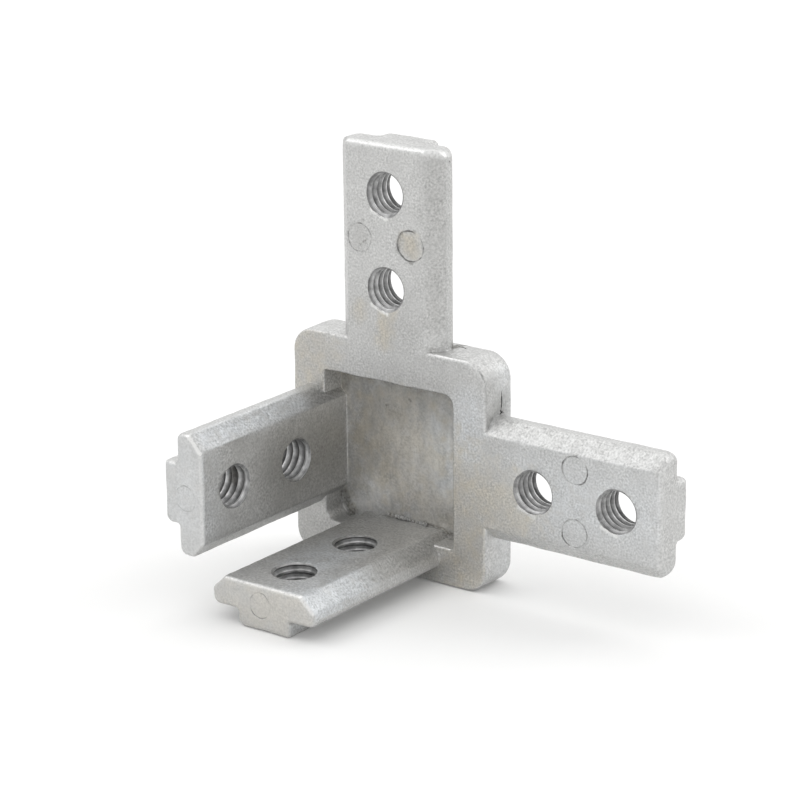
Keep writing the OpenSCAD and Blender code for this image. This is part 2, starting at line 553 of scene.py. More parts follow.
casting = meshObject("casting", placed(bodyBlock(), alongY))
combine(casting, "DIFFERENCE", "pocketSpace", placed(pocketSpace(), alongY))
for name, bar in legBars.items():
    combine(casting, "UNION", name, placed(bar, legPlaces[name]))
print("casting: body, pocket and", len(legBars), "legs,", len(casting.data.polygons), "faces")

threads = []
mouths = []
holeAxes = {name: [] for name in legPlaces}  # the middle of each mouth and a point 1 mm further in
threadAlongY = placed(threadSpace(), onRib)
for number, (name, place) in enumerate(legPlaces.items()):
    for step in (-0.5, 0.5):
        z = holeMiddle + step * holePitch
        turn = 2 * number + step
        mouth = placed(mouthSpace(thread["mouthRadius"], thread["mouthSink"], turn), onFlatFace)
        lead = placed(mouthSpace(thread["leadRadius"], thread["leadSink"], turn + 1), onRib)
        threads.append(placed(moved(threadAlongY, 0, thread["shift"][name], z), place))
        mouths.append(placed(moved(mouth, 0, 0, z), place))
        mouths.append(placed(moved(lead, 0, legDepth, z), place))
        holeAxes[name].append(place(np.array([[0, 0, z], [0, 1, z]])))
boreAxes = np.concatenate(list(holeAxes.values()))
markSpaces = []
grooves = []  # of each mark, its middle with a point 1 mm further out, and its radius
for turn, (name, across, radius, dish, groove) in enumerate(marks["face"]):
    place = legPlaces[name]
    spot = np.array([across, 0, holeMiddle])
    space = placed(markSpace(radius, dish, groove, 2 * turn), onFlatFace)
    markSpaces.append(placed(moved(space, *spot), place))
    grooves.append((place(np.array([spot, spot - [0, 1, 0]])), radius))
for turn, (name, dish, groove) in enumerate(marks["end"]):
    place = legPlaces[name]
    spot = np.array([marks["endOffset"], marks["endLevel"], frontReach])
    space = markSpace(marks["endRadius"], dish, groove, 3 * turn + 1)
    markSpaces.append(placed(moved(space, *spot), place))
    grooves.append((place(np.array([spot, spot + [0, 0, 1]])), marks["endRadius"]))
combine(casting, "DIFFERENCE", "threads", together(threads))
combine(casting, "DIFFERENCE", "mouths", together(mouths + markSpaces))
print("casting:", len(threads), "tapped holes and", len(markSpaces), "ejector marks")

flaws = {
    "around": 8,
    "rings": 13,
    "endShare": 0.99,  # where the first and last rings stand, in shares of the half length
    "wave": 0.6,  # how far a line strays sideways, in shares of its radius
    "waveTurn": 9,  # angle that this wave runs through
    "askew": (0.36, 0.48, 0.8),  # a direction that no line follows
    # cuts: where each starts and ends, its radius, the direction into the casting, and how dark it is
    "cuts": {
        "sideCrack": ((15.0, 3.43, 10.9), (15.0, 3.22, 7.9), 0.13, (-1, 0, 0), 0.9),
        "crackEnd": ((15.0, 3.2, 8.5), (15.0, 3.25, 7.75), 0.22, (-1, 0, 0), 1.0),
        "frontNick": ((13.98, 0.13, 13.97), (14.71, 0.13, 12.82), 0.06, (-0.6, 0.6, -0.5), 0.3),
        "topGap": ((7.9, 4.3, 15.0), (9.5, 3.96, 15.0), 0.12, (0, 0, -1), 0.5),
        "slopePit": ((7.85, 2.5, 38.6), (7.85, 2.7, 38.7), 0.13, (-1, 0, 0), 0.8),
    },
    # what stands proud: where each starts and ends, and its radius
    "burrs": {
        "crackBurr": ((15.0, 3.62, 8.1), (15.0, 3.62, 7.9), 0.17),
    },
    # lips that the tap pressed up below the mouths that face the front, from the middle of a mouth
    "lipStart": (-2.1, 0, -2.3),
    "lipEnd": (0.1, 0, -3.12),
    "lipSink": (0, 0.05, 0),
    "lipRadius": 0.08,
    # row of lumps where the bottom leg meets the pocket
    "rowStart": (-2.5, 3.3, -8.8),
    "rowEnd": (3.4, 3.3, -9.0),
    "rowCount": 10,
    "rowRadius": 0.34,
}
frontMouths = [axis[0] for axis in holeAxes["up"] + holeAxes["right"]]
bottomMouths = [axis[0] for axis in holeAxes["bottom"]]
lips = [(mouth + flaws["lipStart"], mouth + flaws["lipEnd"]) for mouth in frontMouths]
for number, (start, end) in enumerate(lips):
    flaws["burrs"][f"lip{number}"] = (start + flaws["lipSink"], end + flaws["lipSink"], flaws["lipRadius"])


# Slim spindle along a line: circles whose radius follows half an ellipse from end to end, and whose
# middles stray from the line by a wave
def spindle(start, end, radius):
    start, end = np.array([start, end], float)
    along = end - start
    side = unit(np.cross(along, flaws["askew"]))
    other = unit(np.cross(along, side))
    share = np.linspace(0, 1, flaws["rings"])
    width = radius * np.sqrt(1 - (flaws["endShare"] * (2 * share - 1)) ** 2)
    stray = flaws["wave"] * radius * np.sin(flaws["waveTurn"] * share)
    middle = start + share[:, None] * along + stray[:, None] * side
    angle = np.linspace(0, 2 * np.pi, flaws["around"], endpoint=False)
    circle = np.cos(angle)[:, None] * side + np.sin(angle)[:, None] * other
    return loft(middle[:, None] + width[:, None, None] * circle)


# Small round lump, a spindle as long as it is wide
def lump(middle, radius):
    reach = np.array([radius, 0, 0])
    return spindle(np.array(middle) - reach, np.array(middle) + reach, radius)


cuts = [spindle(*cut[:3]) for cut in flaws["cuts"].values()]
combine(casting, "DIFFERENCE", "cuts", together(cuts))
rowCount = flaws["rowCount"]
rowSpots = np.linspace(flaws["rowStart"], flaws["rowEnd"], rowCount)
rowSizes = flaws["rowRadius"] * (0.7 + 0.3 * np.sin(5 * np.arange(rowCount)))  # uneven, up to that radius
for name, burr in flaws["burrs"].items():
    combine(casting, "UNION", name, spindle(*burr))
for spot, size in zip(rowSpots, rowSizes):
    combine(casting, "UNION", "rowLump", lump(spot, size))
print("casting:", len(cuts), "cracks and pits,", len(flaws["burrs"]) + rowCount, "burrs")


# One property of every element of a mesh list, as the rows of an array
def readRows(elements, name, width, kind=np.float32):
    values = np.empty(len(elements) * width, kind)
    elements.foreach_get(name, values)
    return values.reshape(-1, width)


# Bend of every point, in 1/mm: an edge adds the angle between its two faces times its length, positive
# where it is convex, and the sums of the faces round a point are shared out over twice their area
def surfaceBend(mesh):
    loopTotal = readRows(mesh.polygons, "loop_total", 1, np.int32)[:, 0]
    faceOfLoop = np.repeat(np.arange(len(loopTotal)), loopTotal)
    edgeOfLoop = readRows(mesh.loops, "edge_index", 1, np.int32)[:, 0]
    pointOfLoop = readRows(mesh.loops, "vertex_index", 1, np.int32)[:, 0]
    pair = faceOfLoop[np.argsort(edgeOfLoop, kind="stable")].reshape(-1, 2)
    normal = readRows(mesh.polygons, "normal", 3)
    centre = readRows(mesh.polygons, "center", 3) / mm
    area = readRows(mesh.polygons, "area", 1)[:, 0] / mm ** 2
    point = readRows(mesh.vertices, "co", 3) / mm
    ends = point[readRows(mesh.edges, "vertices", 2, np.int32)]
    length = np.linalg.norm(ends[:, 1] - ends[:, 0], axis=1)
    angle = np.arccos(np.clip((normal[pair[:, 0]] * normal[pair[:, 1]]).sum(1), -1, 1))
    rise = (normal[pair[:, 0]] * (centre[pair[:, 1]] - centre[pair[:, 0]])).sum(1)
    share = -np.sign(rise) * angle * length / 2
    faceSum = np.bincount(pair.ravel(), np.repeat(share, 2), len(area))
    pointSum = np.bincount(pointOfLoop, faceSum[faceOfLoop], len(point))
    pointArea = np.bincount(pointOfLoop, area[faceOfLoop], len(point))
    return pointSum / np.maximum(pointArea, 1e-6)  # slivers may have no area


# Distance of points from a line through two points
def axisRadius(points, first, second):
    along = unit(second - first)
    away = points - first
    return np.linalg.norm(away - (away @ along)[:, None] * along, axis=1)


# Distance of points from a stretch between two points
def stretchDistance(points, first, second):
    along = second - first
    share = np.clip((points - first) @ along / (along @ along), 0, 1)
    return np.linalg.norm(points - first - share[:, None] * along, axis=1)


edgeWear = {
    "height": 0.018,
    "fullBend": 1.4,  # edges that bend at least this much wave by the whole height
    "shortest": 2.0,
    "longest": 9.0,
    "waves": 12,
    "seed": 5,
    "threadMargin": 0.05,  # threads stay true, and this much round them
    "sharpAngle": 38,  # degrees
    "normalWeight": 60,
}


# Edges as a casting has them: a sum of sine waves in random directions moves points along their
# normals, by more where the surface bends more
def wearEdges(mesh):
    mesh.update()
    random = np.random.default_rng(edgeWear["seed"])
    count = edgeWear["waves"]
    lengths = np.geomspace(edgeWear["shortest"], edgeWear["longest"], count)
    turns = unit(random.normal(size=(count, 3))) * (2 * np.pi / lengths)[:, None]
    phases = random.uniform(0, 2 * np.pi, count)
    point = readRows(mesh.vertices, "co", 3) / mm
    normal = readRows(mesh.vertices, "normal", 3)
    wave = np.sin(point @ turns.T + phases).sum(1) / np.sqrt(count / 2)
    weight = np.clip(surfaceBend(mesh) / edgeWear["fullBend"], 0, 1)
    radius = np.min([axisRadius(point, *axis) for axis in boreAxes], axis=0)
    weight *= radius > thread["rootRadius"] + edgeWear["threadMargin"]
    point = point + normal * (edgeWear["height"] * weight * wave)[:, None]
    mesh.vertices.foreach_set("co", (point * mm).astype(np.float32).ravel())
    mesh.update()


# Smooth shading with sharp edges kept, and normals that follow the larger faces
def smoothFaces(piece):
    piece.data.shade_smooth()
    piece.data.set_sharp_from_angle(angle=np.radians(edgeWear["sharpAngle"]))
    weighted = piece.modifiers.new("weightedNormals", "WEIGHTED_NORMAL")
    weighted.keep_sharp = True
    weighted.weight = edgeWear["normalWeight"]
    applyModifiers(piece)


wearEdges(casting.data)
smoothFaces(casting)

shading = {
    "skin": 0.02,  # what lies deeper than this is below the skin
    "leadRun": 0.3,  # how far the tapped look runs on into the wide countersink
    "crackReach": 1.7,  # of a crack's shade, in shares of its radius
    "grooveDark": 0.07,  # a mark's groove is darkest this far below the skin
    "grooveReach": 0.3,  # and what lies deeper than this belongs to no groove
}


# Whether a tap cut each face, and how dark it is: 0 at the thread's crest, its leg's own painted shade at
# the root, and one even painted shade in the mouth
def threadShades(centre):
    distances = np.array([axisRadius(centre, *axis) for axis in boreAxes])
    depths = np.array([(centre - mouth) @ (inside - mouth) for mouth, inside in boreAxes])
    nearest = distances.argmin(0)
    distance = distances.min(0)
    depth = depths[nearest, np.arange(len(centre))]
    rootRadius = thread["rootRadius"]
    tapped = (distance < rootRadius - shading["skin"]) & (depth > shading["skin"])
    tapped &= depth < legDepth - thread["leadSink"] + shading["leadRun"]
    shade = np.clip((distance - boreRadius) / (rootRadius - boreRadius), 0, 1) * tapped
    rootShades = [thread["rootShade"][name] for name, axes in holeAxes.items() for axis in axes]
    shade *= np.array(rootShades)[nearest]
    return tapped, np.where(tapped & (depth < thread["mouthSink"]), thread["mouthShade"], shade)


# How dark each face is as part of a crack or a pit
def crackShades(centre):
    shade = np.zeros(len(centre))
    for start, end, radius, inward, dark in flaws["cuts"].values():
        first = np.array(start)
        deep = (centre - first) @ unit(np.array(inward, float)) > shading["skin"]
        near = stretchDistance(centre, first, np.array(end)) < shading["crackReach"] * radius
        shade = np.maximum(shade, dark * (deep & near))
    return shade


# How dark each face is as part of the groove round an ejector mark
def grooveShades(centre):
    shade = np.zeros(len(centre))
    width = marks["width"]
    for (middle, outside), radius in grooves:
        depth = -(centre - middle) @ (outside - middle)
        ring = np.abs(axisRadius(centre, middle, outside) - radius + width / 2) < width
        dark = np.clip((depth - shading["skin"]) / shading["grooveDark"], 0, 1)
        shade = np.maximum(shade, ring * dark * (depth < shading["grooveReach"]))
    return shade


# Stores on each face what the finish reads there
def storeShades(mesh):
    centre = readRows(mesh.polygons, "center", 3) / mm
    tapped, threadShade = threadShades(centre)
    shades = {
        "tapped": tapped,
        "threadShade": threadShade,
        "crackShade": crackShades(centre),
        "markShade": grooveShades(centre),
    }
    for name, values in shades.items():
        attribute = mesh.attributes.new(name, "FLOAT", "FACE")
        attribute.data.foreach_set("value", values.astype(np.float32))


storeShades(casting.data)
print("casting: edges worn and", len(casting.data.attributes), "attributes stored")


# Adds a node with its settings, and its inputs as values or links
def addNode(tree, kind, inputs=None, **settings):
    node = tree.nodes.new(kind)
    for name, value in settings.items():
        setattr(node, name, value)
    for name, value in (inputs or {}).items():
        if isinstance(value, bpy.types.NodeSocket):
            tree.links.new(value, node.inputs[name])
        else:
            node.inputs[name].default_value = value
    return node


def newMaterial(name):
    material = bpy.data.materials.new(name)
    material.use_nodes = True
    tree = material.node_tree
    tree.nodes.clear()
    return material, tree


noiseSpan = (0.3, 0.7)  # most of a noise's values lie between these
patchSpan = (0.35, 0.6)  # and patches come in between these


def noiseAt(tree, place, scale, detail=2):
    inputs = {"Vector": place, "Scale": scale, "Detail": detail}
    return addNode(tree, "ShaderNodeTexNoise", inputs).outputs["Fac"]


# Value carried from one range to another
def ranged(tree, value, fromLow, fromHigh, toLow, toHigh):
    return addNode(tree, "ShaderNodeMapRange", {
        "Value": value,
        "From Min": fromLow,
        "From Max": fromHigh,
        "To Min": toLow,
        "To Max": toHigh,
    }).outputs["Result"]


def calculated(tree, operation, first, second):
    return addNode(tree, "ShaderNodeMath", {0: first, 1: second}, operation=operation).outputs[0]


def product(tree, first, second):
    return calculated(tree, "MULTIPLY", first, second)


def vectorMath(tree, operation, inputs):
    return addNode(tree, "ShaderNodeVectorMath", inputs, operation=operation).outputs


def parted(tree, vector):
    return addNode(tree, "ShaderNodeSeparateXYZ", {0: vector}).outputs


# Colour laid over another by a share
def layered(tree, share, under, over, how="MIX"):
    inputs = {0: share, 6: under, 7: over}
    return addNode(tree, "ShaderNodeMix", inputs, data_type="RGBA", blend_type=how).outputs[2]


# Colour multiplied by a factor, by a share
def tinted(tree, share, under, factor):
    return layered(tree, share, under, factor, "MULTIPLY")


def attributeOf(tree, name):
    return addNode(tree, "ShaderNodeAttribute", attribute_name=name).outputs["Fac"]


finish = {
    "colour": (0.57, 0.57, 0.563, 1),
    # machined threads: a painted highlight on the crests, painted shade on the flanks
    "crestColour": (0.66, 0.66, 0.66, 1),
    "flankColour": (0.47, 0.47, 0.47, 1),
    "rubbedColour": (0.8, 0.8, 0.79, 1),
    # dark for dirt, and for painted shade in thread roots and countersinks
    "dirtColour": (0.05, 0.05, 0.048, 1),
    "stainFactor": (1.0, 0.945, 0.845, 1),
    "coolFactor": (1.15, 1.18, 1.22, 1),
    # darkening for painted shade and for smudges of dirt
    "smudgeFactor": (0.42, 0.41, 0.39, 1),
    "metallic": 0.88,
    "roughness": (0.44, 0.56),
    "rubbedRoughness": 0.15,  # how much smoother rubbed edges and painted highlights are
    "grainScale": 3700,  # grains of the blasted skin, in a metre
    "grainTone": 0.24,
    "grainHeight": 0.02,
    "grainShare": (0.6, 1.1),  # least and most of its tone from place to place
    "pocketGrain": 0.6,  # share of the grain on the pocket's floor
    "pocketFade": (0.9, 0.1),  # heights above that floor between which its look comes in
    "endGrain": 0.5,  # share of the grain on the ends of the front legs
    "endFade": (0.1, 0.6),  # distances from those ends between which the whole grain comes back
    "dotScale": 3600,  # dark dots on slopes, with painted sparkle
    "dotSpan": (0.48, 0.7),  # values of the noise between the dots and on them
    "dotTone": (0.04, -0.16),  # tones there
    "slopeFade": (0.8, 0.92),  # longest part of the normal, on a slope and on a face along the axes
    "streakScale": 900,  # streaks down the pocket's floor
    "streakTone": 0.12,
    "streakSqueeze": (1, 1, 0.35),
    "grimeScale": 1100,  # grime on the threads
    "grimeTone": (0.5, 1.15),
    "flankDepth": 0.3,  # depth in a thread, in shares, where the crest's painted highlight ends
    "dirtDepth": 0.35,  # and where dirt and painted shade start
    "rootDirt": 0.75,  # share of dirt and painted shade in a thread's root
    "grooveDirt": (0.1, 0.75),  # and, from place to place, in the grooves of marks
    "mottleScale": 420,
    "mottleTone": 0.04,
    "patchScale": 700,
    "dimpleScale": 900,
    "dimpleHeight": 0.012,
    "stainShare": (0.5, 1),  # strength of stains from place to place
    "coolShare": (0.3, 1),
    "smudgeShare": (1, 0.55),
    "rubShare": (0.6, 1),
    "lookFade": (0.6, 0.85),  # cosines of a face's turn from a direction between which it takes a stroke
    "strokeCore": 0.3,  # share of a stroke's radius that has its whole strength
    "strokeWaver": 0.3,  # how far its border wavers, in shares of its radius
}

# ways that faces look
ahead = (0, -1, 0)
rightward = (1, 0, 0)
upward = (0, 0, 1)
aslant = (0.7, 0, 0.7)

# strokes on the skin: start, end, radius, strength, and for some the way that a face looks to take it
stains = {
    "pocketFloor": ((-1, 8, 0), (2, 8, 0), 12, 1.5, ahead),
    "seatLow": ((11.5, -3, 0), (11.5, -3, -12), 7, 1.0, ahead),
    "pocketCorner": ((4, 3.4, -6), (7, 3.4, -7), 5, 0.9, ahead),
    # the seat face turns warmer and darker towards its left
    "seatLeft": ((-12.5, 4, 7), (-12.5, 4, 12), 7.5, 0.9, ahead),
    "rightRoot": ((16, 0, -2), (19, 0, -2), 6, 0.9, ahead),
    "upBase": ((-0.4, 0, 15.4), (0.3, 0, 19.4), 1.8, 1.0, ahead),
    "upBaseLeft": ((-4.4, 0, 18.2), (-4.1, 0, 19.2), 1.5, 0.7, ahead),
    "upMark": ((3.6, 0, 27.8), (3.6, 0, 28.2), 2.0, 0.9, ahead),
    "bottomEnd": ((-4, -25.2, -12), (4, -25.2, -12), 6, 0.45, ahead),
}
# paler, cooler patches: partly the metal's own cool tint, partly painted light that lifts faces lying in
# shade, such as the slopes, the body's side, the bottom leg's top and the leg ends
coolTintsAndPaintedLight = {
    "pocketRight": ((5.4, 3.4, 4.5), (6.6, 3.4, -3.2), 3.2, 1.4, ahead),
    "pocketLow": ((-6.5, 3.4, -5.5), (-3.5, 3.4, -5.5), 2.6, 0.6, ahead),
    "seatRight": ((12.5, 0, 3), (12.5, 0, 9), 3.5, 0.9, ahead),
    "rightFront": ((22, -2, 0), (37, -2, 0), 9, 0.8, ahead),
    "leftSlope": ((-9.7, -23, 7.2), (-9.7, -5, 7.2), 2.4, 1.2, aslant),
    "leftEnd": ((-12, -26.5, -3), (-12, -26.5, 4), 7, 0.5, ahead),
    "bottomMiddle": ((0, -9, -8.6), (0, -16, -8.6), 5, 1.6, upward),
    "bottomSlopeTip": ((7.2, -24, -9.7), (7.2, -20, -9.7), 9, 2.2, aslant),
    "leftInnerTip": ((-8.5, -24, -4), (-8.5, -24, 4), 4, 0.5, rightward),
    "sideRear": ((17, 4.8, -12), (17, 4.8, 12), 4.5, 0.7, rightward),
}
# painted shade: even darkening on inner faces, in corners, under the legs, at their roots and over the up
# leg's two marks, where shade falls; their strokes run below the surface
paintedShades = {
    "pocketTop": ((-7, 9, 10), (7, 9, 10), 9.5, 0.8, ahead),
    "pocketLow": ((-5, 8, -5), (2, 8, -5), 8, 0.4, ahead),
    "leftInner": ((-13, 3, 0), (-13, -9, 0), 8, 0.75, rightward),
    "bottomSlope": ((5.5, 0, -13), (5.5, -5, -13), 5, 0.5, aslant),
    "seatLeft": ((-11.5, 4, 11), (-11.5, 4, 11.5), 8, 0.3, ahead),
    "seatLowLeft": ((-12.5, 4, -12), (-11.5, 4, -12.5), 10, 0.43, ahead),
    "rightRoot": ((13, 3, 7.5), (13, 3, 9), 3.4, 0.9, rightward),
    "upFoot": ((-4, 2, 18.5), (2, 2, 18.5), 5.5, 0.12, ahead),
    "upSlope": ((5.5, 2.5, 19), (5.5, 2.5, 38), 3, 0.5, (0.7, -0.7, 0)),
    "rightUnder": ((20, 2.5, -5.5), (38, 2.5, -5.5), 3, 0.4, (0, -0.7, -0.7)),
    "leftUnder": ((-11.6, -4, -5.5), (-11.6, -22, -5.5), 3, 0.45, (0.7, 0, -0.7)),
    "sideFront": ((13, 1, 9), (13, 1, 13), 3.2, 0.28, rightward),
    "upMarkRight": ((3.75, 1, 28), (3.75, 1, 28.1), 2.8, 0.24, ahead),
    "upMarkLeft": ((-4, 1, 28), (-4, 1, 28.1), 2.6, 0.22, ahead),
}
# dark strokes: smudges and specks of dirt, and painted shade along the pocket's top edge, on its left wall
# and in its lower corners
smudgesAndShade = {
    "pocketEdge": ((-9.5, 3.4, 9.6), (9.5, 3.4, 9.6), 1.6, 0.5),
    "pocketWall": ((-10, 2.8, 7.9), (-10, 2.8, 10), 2.4, 0.2),
    "slopeBase": ((5.9, 0.9, 15.1), (7.9, 4.4, 15.1), 1.0, 1.2),
    "floorLeft": ((-8.8, 3.4, -7.2), (-6.5, 3.4, -6.6), 1.6, 0.4),
    "cornerLeft": ((-9.6, 3.3, -7.6), (-8.4, 3.3, -9.6), 1.0, 0.9),
    "cornerRight": ((6.6, 3.3, -9.4), (9.8, 3.3, -9.8), 0.8, 0.9),
    "floorRight": ((5.5, 3.4, -7.4), (9, 3.4, -8), 1.8, 0.3),
    "rootRow": ((-3, 3.3, -8.9), (3.8, 3.3, -9.1), 0.7, 0.2),
    "rootRight": ((3.6, 3.35, -9.0), (6.6, 3.35, -9.2), 0.5, 0.8),
    "leftSpot": ((-2.8, 3.4, 5.7), (-2.5, 3.4, 5.8), 0.24, 0.7),
    "upperSpot": ((-1.5, 3.4, 5.9), (-1.2, 3.4, 5.8), 0.22, 0.6),
    "rightSpot": ((0.9, 3.4, 7.1), (1.1, 3.4, 6.9), 0.24, 0.6),
    "middleSpot": ((0.7, 3.4, 1.9), (0.8, 3.4, 2.2), 0.24, 0.6),
    "markSide": ((1.75, 0, 27.2), (2.3, 0, 29.4), 0.4, 0.55),
    "markTop": ((3.6, 0, 30.0), (4.4, 0, 29.9), 0.35, 0.6),
    "markFoot": ((3.7, 0, 25.95), (4.0, 0, 25.95), 0.35, 0.8),
    "markDotLow": ((-4.0, 0, 27.2), (-3.9, 0, 27.2), 0.24, 0.7),
    "markDotRight": ((-3.5, 0, 27.5), (-2.9, 0, 27.9), 0.22, 0.7),
    "markDotAbove": ((-3.4, 0, 30.3), (-3.3, 0, 30.3), 0.24, 0.6),
    "chippedThread": ((-11.3, -16.4, 0.9), (-11.4, -16.3, -0.5), 0.9, 1.6),
}
# bright strokes: rubbed, worn edges and burrs, and painted highlights along rounded edges and rims, in a
# wide patch on the pocket's floor and along the foot of the left leg's inner face
rubsAndHighlights = {
    "upTop": ((-5.9, 0.1, 40.1), (6.3, 0.3, 40.1), 0.65, 0.8),
    "upTopSlope": ((6.2, 0.3, 40.1), (7.6, 1.8, 39.7), 0.8, 1.0),
    "seatTopRight": ((7.4, 0, 15), (12.2, 0, 14.9), 0.6, 0.7),
    "seatCorner": ((12.2, 0, 14.9), (14.2, 0, 13.4), 0.6, 0.4),
    "rightTipSlope": ((40.2, 0.3, 6.0), (39.8, 1.8, 7.8), 1.1, 0.2),
    "rightTip": ((40.2, 0, -5.9), (40.2, 0, 5.9), 0.7, 0.3),
    "leftEndSlope": ((-9.25, -25.03, 5.75), (-11.0, -25.03, 7.6), 0.36, 1.8),
    "leftEnd": ((-9.27, -25.03, -5.9), (-9.27, -25.03, 5.75), 0.34, 0.35),
    "leftEndLow": ((-9.25, -25.03, -5.75), (-11.0, -25.03, -7.6), 0.34, 0.5),
    "bottomEnd": ((-5.9, -25.03, -9.27), (5.75, -25.03, -9.27), 0.34, 0.25),
    "bottomEndSlope": ((5.75, -25.03, -9.25), (7.6, -25.03, -11.0), 0.36, 1.2),
    "pocketNotch": ((7.9, 0, -10), (10, 0, -10), 0.4, 0.35),
    "rootRow": ((-2.2, 3.1, -8.7), (3.2, 3.1, -8.9), 0.4, 0.35),
    "pocketFloor": ((-0.5, 3.4, 4), (3.5, 3.4, -4.5), 5, 0.36),
    "innerRoot": ((-9.1, 3.3, -5.8), (-9.1, 3.3, 6.5), 0.4, 0.2),
    "scratch": ((4.2, 3.4, -2.0), (6.1, 3.4, -3.5), 0.12, 0.35),
}
for number, (start, end) in enumerate(lips):
    rubsAndHighlights[f"lip{number}"] = (start, end, 0.4, 1.2)
for number, mouth in enumerate(bottomMouths):  # painted highlights on their far rims
    rubsAndHighlights[f"rim{number}"] = (mouth + [-1.9, 2.25, 0], mouth + [0.3, 2.93, 0], 0.4, 0.9)


# Distance of the shaded point from a stretch between two points, all in metres
def shadedDistance(tree, place, start, end):
    along = end - start
    away = vectorMath(tree, "SUBTRACT", {0: place, 1: tuple(start)})["Vector"]
    ratio = tuple(along / (along @ along))
    share = vectorMath(tree, "DOT_PRODUCT", {0: away, 1: ratio})["Value"]
    share = addNode(tree, "ShaderNodeClamp", {"Value": share}).outputs["Result"]
    nearest = vectorMath(tree, "SCALE", {0: tuple(along), "Scale": share})["Vector"]
    return vectorMath(tree, "DISTANCE", {0: away, 1: nearest})["Value"]


# 1 on faces that look one way, and 0 on those well turned from it
def lookShare(tree, normal, direction):
    along = vectorMath(tree, "DOT_PRODUCT", {0: normal, 1: direction})["Value"]
    return ranged(tree, along, *finish["lookFade"], 0, 1)


# Share of the surface that strokes cover: each fades from its core to nothing at its radius, on faces
# that look its way if it has one, and noise, if it is given, makes its border waver
def strokeShare(tree, place, normal, strokes, noise=None):
    total = 0
    for start, end, radius, strength, *way in strokes.values():
        away = shadedDistance(tree, place, np.array(start) * mm, np.array(end) * mm)
        if noise is not None:
            reach = finish["strokeWaver"] * radius * mm
            away = calculated(tree, "ADD", away, ranged(tree, noise, *noiseSpan, -reach, reach))
        share = ranged(tree, away, finish["strokeCore"] * radius * mm, radius * mm, strength, 0)
        for direction in way:
            share = product(tree, share, lookShare(tree, normal, direction))
        total = calculated(tree, "MAXIMUM", total, share)
    return total


# Tone of dark dots on slopes, whose normal lies along no axis, half as strong on upright ones as on those
# turned up, where they paint the sparkle of light from above
def slopeDotsAndSparkle(tree, place, normal):
    axes = parted(tree, vectorMath(tree, "ABSOLUTE", {0: normal})["Vector"])
    longest = calculated(tree, "MAXIMUM", calculated(tree, "MAXIMUM", axes[0], axes[1]), axes[2])
    slope = ranged(tree, longest, *finish["slopeFade"], 1, 0)
    slope = product(tree, slope, ranged(tree, axes[2], 0.2, 0.5, 0.5, 1))
    dots = noiseAt(tree, place, finish["dotScale"], 1)
    dots = ranged(tree, dots, *finish["dotSpan"], *finish["dotTone"])
    return product(tree, dots, slope)


# Tone of the blasted skin about 1: dots and painted sparkle on slopes, fine uneven grain, weaker on the ends
# of the front legs and on the pocket's floor, and streaks that run down that floor
def skinTone(tree, place, grain, normal):
    deep = parted(tree, place)[1]
    high, low = finish["pocketFade"]
    inPocket = ranged(tree, deep, (pocket["depth"] - high) * mm, (pocket["depth"] - low) * mm, 0, 1)
    inPocket = product(tree, inPocket, lookShare(tree, normal, ahead))
    near, far = finish["endFade"]
    atEnd = ranged(tree, deep, (near - frontReach) * mm, (far - frontReach) * mm, finish["endGrain"], 1)
    uneven = ranged(tree, noiseAt(tree, place, finish["patchScale"] / 2), 0.35, 0.65, *finish["grainShare"])
    strength = ranged(tree, inPocket, 0, 1, finish["grainTone"], finish["grainTone"] * finish["pocketGrain"])
    strength = product(tree, strength, atEnd)
    strength = product(tree, strength, uneven)
    fine = product(tree, ranged(tree, grain, 0.25, 0.75, -1, 1), strength)
    drawn = vectorMath(tree, "MULTIPLY", {0: place, 1: finish["streakSqueeze"]})["Vector"]
    streaks = noiseAt(tree, drawn, finish["streakScale"], 4)
    streaks = ranged(tree, streaks, *noiseSpan, -finish["streakTone"], finish["streakTone"])
    streaks = product(tree, streaks, inPocket)
    tone = calculated(tree, "ADD", slopeDotsAndSparkle(tree, place, normal), fine)
    tone = calculated(tree, "ADD", tone, streaks)
    return calculated(tree, "ADD", tone, 1)


# Machined metal of the threads: a painted highlight on the crests and painted shade on the flanks, under
# grime
def threadColour(tree, place, root):
    flank = ranged(tree, root, 0, finish["flankDepth"], 0, 1)
    machinedAndLit = layered(tree, flank, finish["crestColour"], finish["flankColour"])
    grime = noiseAt(tree, place, finish["grimeScale"], 3)
    return tinted(tree, 1, machinedAndLit, ranged(tree, grime, *noiseSpan, *finish["grimeTone"]))


# Share of dark: dirt and painted shade in the roots of threads, dirt in cracks, and here and there in the
# grooves of marks
def dirtAndShadeShare(tree, root, patch):
    inRoots = ranged(tree, root, finish["dirtDepth"], 1, 0, finish["rootDirt"])
    inGrooves = ranged(tree, patch, 0.42, 0.58, *finish["grooveDirt"])
    inGrooves = product(tree, attributeOf(tree, "markShade"), inGrooves)
    dirtAndShade = calculated(tree, "MAXIMUM", inRoots, attributeOf(tree, "crackShade"))
    return calculated(tree, "MAXIMUM", dirtAndShade, inGrooves)


# Normal of the skin: grain on shallow dimples
def skinNormal(tree, place, grain):
    dimples = addNode(tree, "ShaderNodeBump", {
        "Height": noiseAt(tree, place, finish["dimpleScale"]),
        "Distance": finish["dimpleHeight"] * mm,
        "Strength": 1,
    })
    return addNode(tree, "ShaderNodeBump", {
        "Height": grain,
        "Distance": finish["grainHeight"] * mm,
        "Strength": 1,
        "Normal": dimples.outputs["Normal"],
    }).outputs["Normal"]
